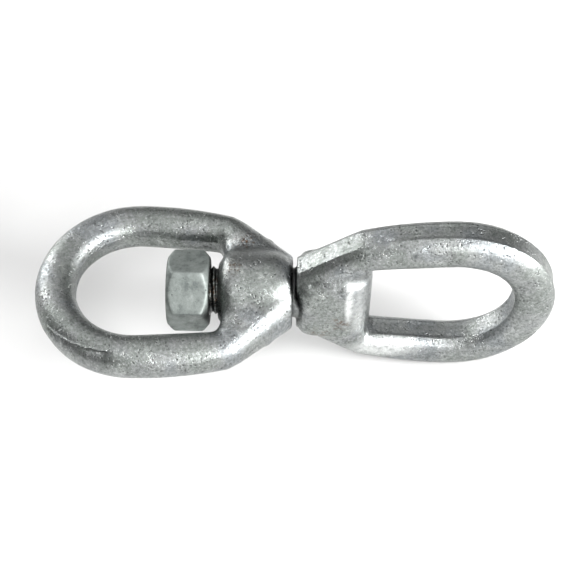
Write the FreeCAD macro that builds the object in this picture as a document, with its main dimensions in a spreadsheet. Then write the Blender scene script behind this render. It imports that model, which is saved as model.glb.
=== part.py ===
"""Double-eye chain swivel: a forged bow with a bored boss, and a forged eye bolt that a hex nut holds in it.

Units are millimetres and degrees. X is the swivel axis. The origin lies on it, in the middle of the gap
between the boss and the neck of the eye bolt. The bow's ring lies in the XY plane and points to -X. The eye's
ring stands in the XZ plane and points to +X.

Each forging is drawn with its ring in the XY plane and its crown towards +X. The Placement of the finished
sub-part then turns it to where it sits.
"""

import FreeCAD
import Part

import math
import os

import Sketcher
from FreeCAD import Placement, Rotation, Vector

DIMENSIONS = {
    # Both rings
    "overall_length": 163.6,
    "bar_width": 12.9,
    "bar_depth": 13.2,
    "opening_width": 38.6,
    "joint_gap": 1.0,
    # The ring of the bow
    "bow_arm_radius": 110.0,
    "bow_shoulder": 17.9,
    "bow_face_half": 11.5,
    "bow_shoulder_round": 12.0,
    "bow_wall": 22.8,
    "bow_wall_half": 17.0,
    "bow_corner_round": 6.5,
    "bow_edge_round": 5.9,
    # The bored boss of the bow
    "boss_radius": 13.0,
    "boss_end_round": 4.2,
    "boss_inner_round": 4.0,
    "boss_inner_end": 23.2,
    "boss_nose": 24.2,
    "boss_nose_radius": 9.2,
    "bore_radius": 8.35,
    "bore_chamfer": 0.5,
    # The ring of the eye
    "eye_arm_radius": 85.0,
    "eye_shoulder": 17.5,
    "eye_face_half": 13.5,
    "eye_shoulder_round": 8.0,
    "eye_wall": 23.0,
    "eye_wall_half": 16.3,
    "eye_corner_round": 5.2,
    "eye_edge_round": 5.2,
    # The neck of the eye bolt
    "neck_end_half": 9.4,
    "neck_shoulder": 3.2,
    "neck_half_width": 13.4,
    "neck_wall_half_width": 15.5,
    "neck_half_depth": 10.0,
    "neck_wall_half_depth": 8.0,
    "neck_wall": 24.2,
    "neck_wall_round": 7.6,
    "neck_edge_round": 5.0,
    "neck_blank_depth": 60.0,
    # The shank of the eye bolt and its thread
    "shank_radius": 7.94,
    "thread_root_radius": 6.7,
    "thread_pitch": 2.31,
    "thread_clearance": 0.05,
    # The nut
    "nut_across_flats": 22.6,
    "nut_thickness": 13.4,
    "nut_gap": 2.4,
    "nut_chamfer_radius": 10.5,
    "nut_chamfer_height": 2.2,
    "nut_countersink": 1.2,
    "nut_turn": 42.0,
}

THREAD_TURNS = 5
HEXAGON_SIDES = 6
PARTS_FOLDER = "parts"

# How closely a point has to agree with a size to count as being there
MATCH = 0.01

# Sketcher's numbers for the sketch's own axes, and for the start, end and centre of a line or an arc
X_AXIS, Y_AXIS = -1, -2
START, END, CENTRE = 1, 2, 3


def add_sheet(doc):
    """The spreadsheet that every size is bound to, one alias to a row."""
    sheet = doc.addObject("Spreadsheet::Sheet", "Dimensions")
    for row, (alias, value) in enumerate(DIMENSIONS.items(), start=1):
        sheet.set(f"A{row}", alias)
        sheet.set(f"B{row}", str(value))
        sheet.setAlias(f"B{row}", alias)
    doc.recompute()
    return sheet


def sheet_formula(text):
    """The text with each word in angle brackets turned into that alias of the sheet."""
    return text.replace("<", "Dimensions.").replace(">", "")


def value_of(owner, text):
    """What a formula comes to now."""
    return float(owner.evalExpression(sheet_formula(text)))


def bind(feature, prop, text):
    """Binds a property of a feature to a formula."""
    feature.setExpression(prop, sheet_formula(text))


def origin_part(body, role):
    """One of the planes or axes of the body's own origin."""
    return next(item for item in body.Origin.OriginFeatures if item.Role == role)


def add_sketch(body, name, plane):
    """An empty sketch on one of the body's origin planes."""
    sketch = body.newObject("Sketcher::SketchObject", name)
    sketch.AttachmentSupport = [(origin_part(body, plane), "")]
    sketch.MapMode = "FlatFace"
    return sketch


def constrain(sketch, kind, *arguments):
    """Adds a constraint and returns its number."""
    return sketch.addConstraint(Sketcher.Constraint(kind, *arguments))


def dimension(sketch, name, text, kind, *arguments):
    """A driving dimension, whose value is a formula of the sheet."""
    number = constrain(sketch, kind, *arguments, value_of(sketch, text))
    sketch.renameConstraint(number, name)
    bind(sketch, f"Constraints.{name}", text)


def place_corner(sketch, name, line, across, along):
    """Holds the start of a line at a pair of formulas, where 0 puts it on an axis."""
    for text, axis, kind in ((across, Y_AXIS, "DistanceX"), (along, X_AXIS, "DistanceY")):
        if text == "0":
            constrain(sketch, "PointOnObject", line, START, axis)
        else:
            dimension(sketch, f"{name}_{kind}", text, kind, X_AXIS, START, line, START)


def add_polygon(sketch, corners):
    """A closed outline of straight lines, whose corners are pairs of formulas."""
    points = [Vector(value_of(sketch, across), value_of(sketch, along), 0) for across, along in corners]
    lines = []
    for start, end in zip(points, points[1:] + points[:1]):
        lines.append(sketch.addGeometry(Part.LineSegment(start, end)))
    for line, following in zip(lines, lines[1:] + lines[:1]):
        constrain(sketch, "Coincident", line, END, following, START)
    for line, (across, along) in zip(lines, corners):
        place_corner(sketch, f"corner_{line}", line, across, along)


def add_arc(sketch, centre, radius, first, last):
    """An arc from one angle to another, in radians and anticlockwise."""
    circle = Part.Circle(centre, Vector(0, 0, 1), radius)
    return sketch.addGeometry(Part.ArcOfCircle(circle, first, last))


def add_line(sketch, start, end):
    """A line between two points."""
    return sketch.addGeometry(Part.LineSegment(start, end))


def pad(body, sketch, depth):
    """Pads a sketch by a formula, half to each side of its plane."""
    feature = body.newObject("PartDesign::Pad", f"{sketch.Name}_pad")
    feature.Profile = sketch
    feature.Midplane = True
    bind(feature, "Length", depth)
    return feature


def turn_about_x(body, sketch, kind):
    """Revolves a sketch all the way round the body's X axis, to add or to cut."""
    feature = body.newObject(f"PartDesign::{kind}", f"{sketch.Name}_turned")
    feature.Profile = sketch
    feature.ReferenceAxis = (origin_part(body, "X_Axis"), [""])
    feature.Angle = 360
    return feature


def middle(edge):
    """The point half-way along an edge."""
    return edge.valueAt((edge.FirstParameter + edge.LastParameter) / 2)


def round_edges(body, name, base, radius, wanted):
    """Fillets the edges of a feature whose middle point is wanted."""
    body.Document.recompute()
    numbered = enumerate(base.Shape.Edges, start=1)
    edges = [f"Edge{number}" for number, edge in numbered if wanted(middle(edge))]
    feature = body.newObject("PartDesign::Fillet", name)
    feature.Base = (base, edges)
    bind(feature, "Radius", radius)
    return feature


def close_to(length, target):
    """Whether two lengths agree."""
    return abs(length - target) < MATCH


def shoulder_point(side):
    """Where the slope of a ring's shoulder meets the arc of its arm, and the centre of that arc."""
    outer = DIMENSIONS["opening_width"] / 2 + DIMENSIONS["bar_width"]
    arm_radius = DIMENSIONS[f"{side}_arm_radius"]
    centre = Vector(DIMENSIONS["overall_length"] / 2 - outer, outer - arm_radius, 0)
    across = DIMENSIONS[f"{side}_shoulder"] - centre.x
    return centre + Vector(across, math.sqrt(arm_radius ** 2 - across ** 2), 0), centre


def mirrored(point):
    """The point's image across the X axis."""
    return Vector(point.x, -point.y, point.z)


def draw_ring_outside(sketch, side):
    """The outside of a ring: a round crown, two bowed arms, two sloping shoulders and a flat end."""
    half_opening = DIMENSIONS["opening_width"] / 2
    outer = half_opening + DIMENSIONS["bar_width"]
    shoulder, arm_centre = shoulder_point(side)
    crown_centre = Vector(arm_centre.x, 0, 0)
    face = Vector(DIMENSIONS["joint_gap"] / 2, DIMENSIONS[f"{side}_face_half"], 0)
    arm_angle = math.atan2(shoulder.y - arm_centre.y, shoulder.x - arm_centre.x)
    arm_radius = DIMENSIONS[f"{side}_arm_radius"]
    upright = math.pi / 2

    crown = add_arc(sketch, crown_centre, outer, -upright, upright)
    upper_arm = add_arc(sketch, arm_centre, arm_radius, upright, arm_angle)
    lower_arm = add_arc(sketch, mirrored(arm_centre), arm_radius, -arm_angle, -upright)
    upper_slope = add_line(sketch, face, shoulder)
    lower_slope = add_line(sketch, mirrored(face), mirrored(shoulder))
    end = add_line(sketch, face, mirrored(face))

    constrain(sketch, "Tangent", crown, END, upper_arm, START)
    constrain(sketch, "Tangent", lower_arm, END, crown, START)
    constrain(sketch, "Coincident", upper_arm, END, upper_slope, END)
    constrain(sketch, "Coincident", lower_arm, START, lower_slope, END)
    constrain(sketch, "Coincident", end, START, upper_slope, START)
    constrain(sketch, "Coincident", end, END, lower_slope, START)
    constrain(sketch, "PointOnObject", crown, CENTRE, X_AXIS)
    constrain(sketch, "Vertical", crown, CENTRE, crown, END)
    constrain(sketch, "Vertical", crown, CENTRE, crown, START)
    constrain(sketch, "Symmetric", end, START, end, END, X_AXIS)
    constrain(sketch, "Symmetric", upper_arm, END, lower_arm, START, X_AXIS)
    dimension(sketch, "crown_radius", "<opening_width> / 2 + <bar_width>", "Radius", crown)
    dimension(sketch, "crown_centre", "(<overall_length> - <opening_width>) / 2 - <bar_width>",
              "DistanceX", X_AXIS, START, crown, CENTRE)
    dimension(sketch, "arm_radius", f"<{side}_arm_radius>", "Radius", upper_arm)
    dimension(sketch, "face", "<joint_gap> / 2", "DistanceX", X_AXIS, START, end, START)
    dimension(sketch, "face_half", f"<{side}_face_half>", "DistanceY", X_AXIS, START, end, START)
    dimension(sketch, "shoulder", f"<{side}_shoulder>", "DistanceX", X_AXIS, START, upper_slope, END)
    return crown


def draw_ring_inside(sketch, side, crown):
    """The opening of a ring: a half circle about the crown's centre, two leaning sides and a flat wall."""
    half_opening = DIMENSIONS["opening_width"] / 2
    centre = Vector(DIMENSIONS["overall_length"] / 2 - half_opening - DIMENSIONS["bar_width"], 0, 0)
    corner = Vector(DIMENSIONS[f"{side}_wall"], DIMENSIONS[f"{side}_wall_half"], 0)
    top = centre + Vector(0, half_opening, 0)

    inner = add_arc(sketch, centre, half_opening, -math.pi / 2, math.pi / 2)
    upper_side = add_line(sketch, top, corner)
    wall = add_line(sketch, corner, mirrored(corner))
    lower_side = add_line(sketch, mirrored(corner), mirrored(top))

    constrain(sketch, "Tangent", inner, END, upper_side, START)
    constrain(sketch, "Coincident", upper_side, END, wall, START)
    constrain(sketch, "Coincident", wall, END, lower_side, START)
    constrain(sketch, "Tangent", lower_side, END, inner, START)
    constrain(sketch, "Coincident", inner, CENTRE, crown, CENTRE)
    constrain(sketch, "Symmetric", wall, START, wall, END, X_AXIS)
    dimension(sketch, "inner_radius", "<opening_width> / 2", "Radius", inner)
    dimension(sketch, "wall", f"<{side}_wall>", "DistanceX", X_AXIS, START, wall, START)
    dimension(sketch, "wall_half", f"<{side}_wall_half>", "DistanceY", X_AXIS, START, wall, START)


def build_ring(doc, side):
    """A ring of one forging, padded from its outline, with rounded corners and edges."""
    body = doc.addObject("PartDesign::Body", f"{side}_ring")
    sketch = add_sketch(body, f"{side}_outline", "XY_Plane")
    crown = draw_ring_outside(sketch, side)
    draw_ring_inside(sketch, side, crown)
    blank = pad(body, sketch, "<bar_depth>")

    shoulder, _ = shoulder_point(side)
    wall = DIMENSIONS[f"{side}_wall"]
    half_depth = DIMENSIONS["bar_depth"] / 2
    face = DIMENSIONS["joint_gap"] / 2
    shoulders = round_edges(body, f"{side}_shoulders", blank, f"<{side}_shoulder_round>",
                            lambda point: close_to(point.z, 0) and close_to(point.x, shoulder.x))
    corners = round_edges(body, f"{side}_corners", shoulders, f"<{side}_corner_round>",
                          lambda point: close_to(point.z, 0) and close_to(point.x, wall))
    round_edges(body, f"{side}_edges", corners, f"<{side}_edge_round>",
                lambda point: close_to(abs(point.z), half_depth) and not close_to(point.x, face))
    return body


def build_boss(doc):
    """The barrel that the bore goes through, with a domed face towards the nut."""
    body = doc.addObject("PartDesign::Body", "bow_boss")
    sketch = add_sketch(body, "boss_profile", "XY_Plane")
    add_polygon(sketch, [
        ("<joint_gap> / 2", "0"),
        ("<joint_gap> / 2", "<boss_radius>"),
        ("<boss_inner_end>", "<boss_radius>"),
        ("<boss_nose>", "<boss_nose_radius>"),
        ("<boss_nose>", "0"),
    ])
    barrel = turn_about_x(body, sketch, "Revolution")
    face = DIMENSIONS["joint_gap"] / 2
    radius = DIMENSIONS["boss_radius"]
    inner = DIMENSIONS["boss_inner_end"]
    near_end = round_edges(
        body, "boss_end", barrel, "<boss_end_round>",
        lambda point: close_to(point.x, face) and close_to(math.hypot(point.y, point.z), radius))
    round_edges(body, "boss_inner", near_end, "<boss_inner_round>", lambda point: close_to(point.x, inner))
    return body


def build_bore(doc):
    """The round hole through the boss, widened a little at both ends."""
    body = doc.addObject("PartDesign::Body", "bow_bore")
    sketch = add_sketch(body, "bore_profile", "XY_Plane")
    mouth = "<bore_radius> + <bore_chamfer>"
    add_polygon(sketch, [
        ("0", "0"),
        ("0", mouth),
        ("<joint_gap> / 2", mouth),
        ("<joint_gap> / 2 + <bore_chamfer>", "<bore_radius>"),
        ("<boss_nose> - <bore_chamfer>", "<bore_radius>"),
        ("<boss_nose>", mouth),
        ("<boss_nose> + <joint_gap>", mouth),
        ("<boss_nose> + <joint_gap>", "0"),
    ])
    turn_about_x(body, sketch, "Revolution")
    return body


def build_swivel_bow(doc):
    """The bow: its ring and its boss in one piece, with the bore cut through."""
    forging = doc.addObject("Part::MultiFuse", "bow_forging")
    forging.Shapes = [build_ring(doc, "bow"), build_boss(doc)]
    bow = doc.addObject("Part::Cut", "swivel_bow")
    bow.Base = forging
    bow.Tool = build_bore(doc)
    bow.Label = "swivel_bow"
    bow.Placement = Placement(Vector(0, 0, 0), Rotation(Vector(0, 0, 1), 180))
    return bow


def flank_edges(shape):
    """The numbers of the neck block's edges where a flank meets its top, its bottom or its round wall."""
    beside = DIMENSIONS["neck_end_half"]
    flat = DIMENSIONS["neck_wall_half_depth"] - DIMENSIONS["neck_wall_round"]
    points = [middle(edge) for edge in shape.Edges]
    return [number for number, point in enumerate(points, start=1)
            if abs(point.y) > beside + MATCH and abs(point.z) > flat + MATCH]


def build_neck(doc):
    """The block between the shank and the arms: its outline from above, common with that from the side."""
    plan = doc.addObject("PartDesign::Body", "neck_plan")
    plan_sketch = add_sketch(plan, "neck_plan_outline", "XY_Plane")
    beyond = "<neck_wall> + <neck_wall_round>"
    add_polygon(plan_sketch, [
        ("<joint_gap> / 2", "-<neck_end_half>"),
        ("<joint_gap> / 2", "<neck_end_half>"),
        ("<joint_gap> / 2 + <neck_shoulder>", "<neck_half_width>"),
        (beyond, "<neck_wall_half_width>"),
        (beyond, "-<neck_wall_half_width>"),
        ("<joint_gap> / 2 + <neck_shoulder>", "-<neck_half_width>"),
    ])
    pad(plan, plan_sketch, "<neck_blank_depth>")

    side = doc.addObject("PartDesign::Body", "neck_side")
    side_sketch = add_sketch(side, "neck_side_outline", "XZ_Plane")
    add_polygon(side_sketch, [
        ("<joint_gap> / 2", "-<neck_end_half>"),
        ("<joint_gap> / 2", "<neck_end_half>"),
        ("<joint_gap> / 2 + <neck_shoulder>", "<neck_half_depth>"),
        ("<neck_wall>", "<neck_wall_half_depth>"),
        ("<neck_wall>", "-<neck_wall_half_depth>"),
        ("<joint_gap> / 2 + <neck_shoulder>", "-<neck_half_depth>"),
    ])
    slab = pad(side, side_sketch, "<neck_blank_depth>")
    wall = DIMENSIONS["neck_wall"]
    round_edges(side, "neck_wall_edges", slab, "<neck_wall_round>", lambda point: close_to(point.x, wall))

    block = doc.addObject("Part::Common", "neck_block")
    block.Base = plan
    block.Tool = side
    doc.recompute()
    radius = doc.Dimensions.neck_edge_round
    neck = doc.addObject("Part::Fillet", "neck")
    neck.Base = block
    neck.Edges = [(number, radius, radius) for number in flank_edges(block.Shape)]
    return neck


def thread_corners(start, crest, root, turns):
    """The corners of a thread seen from the side, as rings of one pitch each along -X from the start."""
    corners = []
    for turn in range(turns):
        corners.append((f"{start} - {turn} * <thread_pitch>", crest))
        corners.append((f"{start} - {turn + 0.5} * <thread_pitch>", root))
    corners.append((f"{start} - {turns} * <thread_pitch>", crest))
    return corners


def build_shank(doc):
    """The round shank: plain in the bore, threaded in the nut, and spread into the nut's countersink."""
    body = doc.addObject("PartDesign::Body", "shank")
    sketch = add_sketch(body, "shank_profile", "XY_Plane")
    nut_end = "-<boss_nose> - <nut_gap> - <nut_thickness>"
    add_polygon(sketch, [
        ("<neck_shoulder>", "0"),
        ("<neck_shoulder>", "<shank_radius>"),
        *thread_corners("-<boss_nose> - <nut_gap>", "<shank_radius>", "<thread_root_radius>", THREAD_TURNS),
        (f"{nut_end} + <nut_countersink>", "<shank_radius>"),
        (nut_end, "<shank_radius> + <nut_countersink>"),
        (nut_end, "0"),
    ])
    turn_about_x(body, sketch, "Revolution")
    return body


def build_eye_bolt(doc):
    """The eye bolt: ring, neck and shank in one piece."""
    bolt = doc.addObject("Part::MultiFuse", "eye_bolt")
    bolt.Shapes = [build_ring(doc, "eye"), build_neck(doc), build_shank(doc)]
    bolt.Label = "eye_bolt"
    bolt.Placement = Placement(Vector(0, 0, 0), Rotation(Vector(1, 0, 0), 90))
    return bolt


def draw_hexagon(sketch):
    """A regular hexagon about the origin, with two corners on the sketch's first axis."""
    corner = DIMENSIONS["nut_across_flats"] / math.sqrt(3)
    turns = [math.radians(60 * side) for side in range(HEXAGON_SIDES)]
    points = [Vector(corner * math.cos(turn), corner * math.sin(turn), 0) for turn in turns]
    circle = sketch.addGeometry(Part.Circle(Vector(0, 0, 0), Vector(0, 0, 1), corner), True)
    lines = [add_line(sketch, start, end) for start, end in zip(points, points[1:] + points[:1])]
    for line, following in zip(lines, lines[1:] + lines[:1]):
        constrain(sketch, "Coincident", line, END, following, START)
        constrain(sketch, "PointOnObject", line, START, circle)
        if line != lines[0]:
            constrain(sketch, "Equal", line, lines[0])
    constrain(sketch, "Coincident", circle, CENTRE, X_AXIS, START)
    constrain(sketch, "PointOnObject", lines[0], START, X_AXIS)
    dimension(sketch, "corner_radius", "<nut_across_flats> / sqrt(3)", "Radius", circle)


def cut_nut_chamfers(body):
    """Turns the corners of both faces of the nut down to a cone."""
    outside = "<nut_across_flats>"
    rise = "<nut_chamfer_radius>"
    for name, face, inward in (("inner", "<nut_thickness> / 2", "-"), ("outer", "-<nut_thickness> / 2", "+")):
        sketch = add_sketch(body, f"nut_{name}_chamfer", "XY_Plane")
        corner = "<nut_across_flats> / sqrt(3)"
        slope = f"<nut_chamfer_height> * ({outside} - {rise}) / ({corner} - {rise})"
        add_polygon(sketch, [
            (face, rise),
            (face, outside),
            (f"{face} {inward} {slope}", outside),
        ])
        turn_about_x(body, sketch, "Groove")


def cut_nut_thread(body):
    """Cuts the threaded hole, with a countersink that the end of the shank is spread into."""
    sketch = add_sketch(body, "nut_thread", "XY_Plane")
    face = "<nut_thickness> / 2"
    crest = "<shank_radius> + <thread_clearance>"
    root = "<thread_root_radius> + <thread_clearance>"
    add_polygon(sketch, [
        (face, "0"),
        *thread_corners(face, crest, root, THREAD_TURNS),
        (f"-{face} + <nut_countersink>", "<shank_radius>"),
        (f"-{face}", "<shank_radius> + <nut_countersink>"),
        (f"-{face}", "0"),
    ])
    turn_about_x(body, sketch, "Groove")


def build_hex_nut(doc):
    """The heavy nut on the end of the shank."""
    body = doc.addObject("PartDesign::Body", "hex_nut")
    sketch = add_sketch(body, "nut_outline", "YZ_Plane")
    draw_hexagon(sketch)
    pad(body, sketch, "<nut_thickness>")
    cut_nut_chamfers(body)
    cut_nut_thread(body)
    body.Label = "hex_nut"
    body.Placement = Placement(Vector(0, 0, 0), Rotation(Vector(1, 0, 0), DIMENSIONS["nut_turn"]))
    bind(body, "Placement.Base.x", "-<boss_nose> - <nut_gap> - <nut_thickness> / 2")
    return body


def check_document(doc, sub_parts):
    """Stops if any object failed to build, or if any sub-part isn't one valid solid."""
    for item in doc.Objects:
        if {"Invalid", "Error"} & set(item.State):
            raise RuntimeError(f"{item.Name} failed: {item.State}")
    for sub_part in sub_parts:
        shape = sub_part.Shape
        if shape.isNull() or not shape.isValid() or len(shape.Solids) != 1:
            raise RuntimeError(f"{sub_part.Label} isn't one valid solid")


def main():
    """Builds the three pieces, checks them and writes each to its own file."""
    doc = FreeCAD.newDocument("chain_swivel")
    add_sheet(doc)
    sub_parts = [build_swivel_bow(doc), build_eye_bolt(doc), build_hex_nut(doc)]
    doc.recompute()
    check_document(doc, sub_parts)
    os.makedirs(PARTS_FOLDER, exist_ok=True)
    for sub_part in sub_parts:
        sub_part.Shape.exportStep(f"{PARTS_FOLDER}/{sub_part.Label}.step")
        box = sub_part.Shape.BoundBox
        print(f"{sub_part.Label}: {sub_part.Shape.Volume:.0f} mm3, {box}")


main()
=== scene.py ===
"""A double-eye chain swivel of hot-dip galvanised forged steel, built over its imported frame."""

import logging
import math
from collections.abc import Callable
from dataclasses import dataclass
from enum import Enum

import bmesh
import bpy
from mathutils import Matrix, Vector, noise


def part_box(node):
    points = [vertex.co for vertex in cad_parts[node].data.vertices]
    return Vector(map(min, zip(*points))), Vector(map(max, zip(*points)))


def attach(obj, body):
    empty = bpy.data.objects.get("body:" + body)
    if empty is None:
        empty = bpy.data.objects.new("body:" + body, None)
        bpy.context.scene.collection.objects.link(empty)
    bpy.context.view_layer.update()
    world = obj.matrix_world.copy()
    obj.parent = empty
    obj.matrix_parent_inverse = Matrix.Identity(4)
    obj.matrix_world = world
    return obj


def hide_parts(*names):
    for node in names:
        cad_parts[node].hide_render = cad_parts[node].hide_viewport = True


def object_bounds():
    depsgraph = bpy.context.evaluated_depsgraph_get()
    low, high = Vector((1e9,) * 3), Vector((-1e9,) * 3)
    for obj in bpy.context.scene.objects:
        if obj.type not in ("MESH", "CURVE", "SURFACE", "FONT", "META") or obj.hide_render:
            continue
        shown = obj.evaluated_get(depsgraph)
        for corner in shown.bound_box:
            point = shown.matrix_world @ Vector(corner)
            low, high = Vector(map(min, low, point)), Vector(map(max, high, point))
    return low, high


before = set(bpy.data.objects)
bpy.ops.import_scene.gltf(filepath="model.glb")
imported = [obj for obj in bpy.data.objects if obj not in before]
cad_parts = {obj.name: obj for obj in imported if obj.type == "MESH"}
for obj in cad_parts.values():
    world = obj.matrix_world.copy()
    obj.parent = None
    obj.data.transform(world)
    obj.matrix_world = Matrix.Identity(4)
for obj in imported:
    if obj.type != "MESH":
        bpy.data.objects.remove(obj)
CAD_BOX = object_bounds()

LOG = logging.getLogger("swivel")
MM = 0.001
JOINT_FACE = 0.5
FULL_TURN = 2 * math.pi
OVERRUN = 1.0
HOLLOW_PASSES = 8
STAIN_CORE = 0.2
# The share of a painted highlight's radii that is fully bright.
HIGHLIGHT_CORE = 0.25
# How far the painted shade in corners looks for nearby surfaces, in millimetres.
SHADE_REACH = 8.0


class Rider(Enum):
    """The two halves that turn against each other."""

    BOW = "bow"
    EYE = "eye"


class Slot(Enum):
    """The record's material slots."""

    FORGING = "galvanised_forging"
    NUT = "galvanised_nut"


class Cut(Enum):
    """How one solid is combined with another."""

    AWAY = "DIFFERENCE"
    COMMON = "INTERSECT"


# ---------------------------------------------------------------- mesh helpers


def applied(mesh_object: bpy.types.Object) -> bpy.types.Mesh:
    """A new mesh of the object with its modifiers applied."""
    graph = bpy.context.evaluated_depsgraph_get()
    return bpy.data.meshes.new_from_object(mesh_object.evaluated_get(graph))


def bench_object(name: str, shape: bmesh.types.BMesh) -> bpy.types.Object:
    """Puts a shape on the bench as a linked object, and frees the shape.

    Args:
        name: The object's name.
        shape: The shape, in millimetres.

    Returns:
        The new object.
    """
    mesh = bpy.data.meshes.new(name)
    shape.to_mesh(mesh)
    shape.free()
    made = bpy.data.objects.new(name, mesh)
    bpy.context.scene.collection.objects.link(made)
    return made


def off_the_bench(made: bpy.types.Object) -> bmesh.types.BMesh:
    """Applies a bench object's modifiers, removes it, and returns its shape.

    Args:
        made: The bench object, which is removed.

    Returns:
        Its shape.
    """
    mesh = applied(made)
    shape = bmesh.new()
    shape.from_mesh(mesh)
    bpy.data.objects.remove(made)
    bpy.data.meshes.remove(mesh)
    return shape


def gathered(shapes: list[bmesh.types.BMesh]) -> bmesh.types.BMesh:
    """All the shapes in one, still overlapping.

    Args:
        shapes: The shapes, which are freed.

    Returns:
        The one shape.
    """
    whole = bmesh.new()
    for shape in shapes:
        bmesh.ops.recalc_face_normals(shape, faces=shape.faces)
        mesh = bpy.data.meshes.new("gathered")
        shape.to_mesh(mesh)
        shape.free()
        whole.from_mesh(mesh)
        bpy.data.meshes.remove(mesh)
    return whole


def forged_together(shapes: list[bmesh.types.BMesh], grain: float) -> bmesh.types.BMesh:
    """Overlapping closed shapes as one closed skin.

    Args:
        shapes: The shapes, which are freed.
        grain: The new skin's mesh size in millimetres.

    Returns:
        The skin.
    """
    blank = bench_object("blank", gathered(shapes))
    fuse = blank.modifiers.new("fuse", "REMESH")
    fuse.mode = "VOXEL"
    fuse.voxel_size = grain
    return off_the_bench(blank)


def machined(
    shape: bmesh.types.BMesh, tool: bmesh.types.BMesh, cut: Cut
) -> bmesh.types.BMesh:
    """Combines a shape with a tool's shape.

    Args:
        shape: The work, which is freed.
        tool: The tool, which is freed.
        cut: Whether the tool is cut away or only the common part is kept.

    Returns:
        The machined shape.
    """
    for solid in (shape, tool):
        bmesh.ops.recalc_face_normals(solid, faces=solid.faces)
    work = bench_object("work", shape)
    cutter = bench_object("cutter", tool)
    change = work.modifiers.new("cut", "BOOLEAN")
    change.operation = cut.value
    change.solver = "EXACT"
    change.object = cutter
    result = off_the_bench(work)
    bpy.data.objects.remove(cutter)
    return result


def turned(profile: list[tuple[float, float]], steps: int = 96) -> bmesh.types.BMesh:
    """A solid turned about the first axis from half of its outline.

    Args:
        profile: Points of (place along the axis, radius), both ends on the axis.
        steps: How many steps make the full turn.

    Returns:
        The solid.
    """
    shape = bmesh.new()
    points = [shape.verts.new((along, radius, 0)) for along, radius in profile]
    edges = [shape.edges.new(pair) for pair in zip(points, points[1:])]
    bmesh.ops.spin(
        shape, geom=points + edges, cent=(0, 0, 0), axis=(1, 0, 0), dvec=(0, 0, 0),
        angle=FULL_TURN, steps=steps, use_merge=True,
    )
    bmesh.ops.remove_doubles(shape, verts=shape.verts, dist=0.001)
    bmesh.ops.recalc_face_normals(shape, faces=shape.faces)
    return shape


def corner_arc(
    centre: tuple[float, float], radii: tuple[float, float], start: float, end: float,
    steps: int = 8,
) -> list[tuple[float, float]]:
    """Points of a rounded corner of a turned outline.

    Args:
        centre: The rounding's centre as (place along the axis, radius from it).
        radii: The rounding's reach along the axis and away from it.
        start: The first point's angle in degrees.
        end: The last point's angle in degrees.
        steps: How many steps there are between them.

    Returns:
        The points.
    """
    turns = [math.radians(start + (end - start) * step / steps) for step in range(steps + 1)]
    return [
        (centre[0] + radii[0] * math.cos(turn), centre[1] + radii[1] * math.sin(turn))
        for turn in turns
    ]


def rounded_block(
    low: tuple[float, float, float], high: tuple[float, float, float], rounding: float
) -> bmesh.types.BMesh:
    """A block between two corners with all its edges rounded.

    Args:
        low: Its lowest corner.
        high: Its highest corner.
        rounding: The radius of its edges.

    Returns:
        The block.
    """
    shape = bmesh.new()
    bmesh.ops.create_cube(shape, size=1.0)
    spans = [top - bottom for bottom, top in zip(low, high)]
    middle = [(top + bottom) / 2 for bottom, top in zip(low, high)]
    bmesh.ops.scale(shape, vec=spans, verts=shape.verts)
    bmesh.ops.translate(shape, vec=middle, verts=shape.verts)
    round_over(shape, shape.edges[:], rounding)
    return shape


def round_over(shape: bmesh.types.BMesh, edges: list, rounding: float, steps: int = 5) -> None:
    """Rounds the given edges of a shape.

    Args:
        shape: The shape.
        edges: The edges.
        rounding: Their new radius.
        steps: How many facets make each rounding.
    """
    bmesh.ops.bevel(
        shape, geom=edges, offset=rounding, segments=steps, profile=0.5,
        affect="EDGES", material=-1, clamp_overlap=True,
    )


def smooth(shape: bmesh.types.BMesh, verts: list, passes: int) -> None:
    """Evens out the given points of a skin.

    Args:
        shape: The skin.
        verts: The points.
        passes: How many times they are evened out.
    """
    for _ in range(passes):
        bmesh.ops.smooth_vert(
            shape, verts=verts, factor=0.5,
            use_axis_x=True, use_axis_y=True, use_axis_z=True,
        )


def is_hollow(point: bmesh.types.BMVert) -> bool:
    """Whether a skin is hollow at a point, so that its neighbours stand proud of it."""
    around = sum((edge.other_vert(point).co for edge in point.link_edges), Vector())
    return (around / len(point.link_edges) - point.co).dot(point.normal) > 0


def fill_hollows(shape: bmesh.types.BMesh, rounds: int, within: Callable[[Vector], bool]) -> None:
    """Fills a skin's inside corners with the soft blends of a forging die.

    Args:
        shape: The skin.
        rounds: How many times the hollow points are found and evened out.
        within: Says whether a place may be filled.
    """
    near = [point for point in shape.verts if within(point.co)]
    for _ in range(rounds):
        shape.normal_update()
        hollow = [point for point in near if is_hollow(point)]
        smooth(shape, hollow, HOLLOW_PASSES)


# ---------------------------------------------------------------- the forged bar


@dataclass(frozen=True)
class BarSection:
    """The forged bar's section: a round bar, trimmed flat on the outside and inside."""

    half_width: float
    half_depth: float
    outer_curve: float
    inner_curve: float
    fullness: float = 1.0
    sides: int = 72

    def point(self, turn: float, half_width: float) -> tuple[float, float]:
        """Where the section's skin is.

        Args:
            turn: The angle round the section, from outwards towards the upper side.
            half_width: Half the bar's width here.

        Returns:
            The place as (outwards, upwards) from the bar's middle.
        """
        curve = self.outer_curve if math.cos(turn) > 0 else self.inner_curve
        across = math.copysign(abs(math.cos(turn)) ** self.fullness, math.cos(turn))
        upwards = math.copysign(abs(math.sin(turn)) ** self.fullness, math.sin(turn))
        out = across * curve * half_width / self.half_width
        return max(-half_width, min(half_width, out)), upwards * self.half_depth


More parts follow.
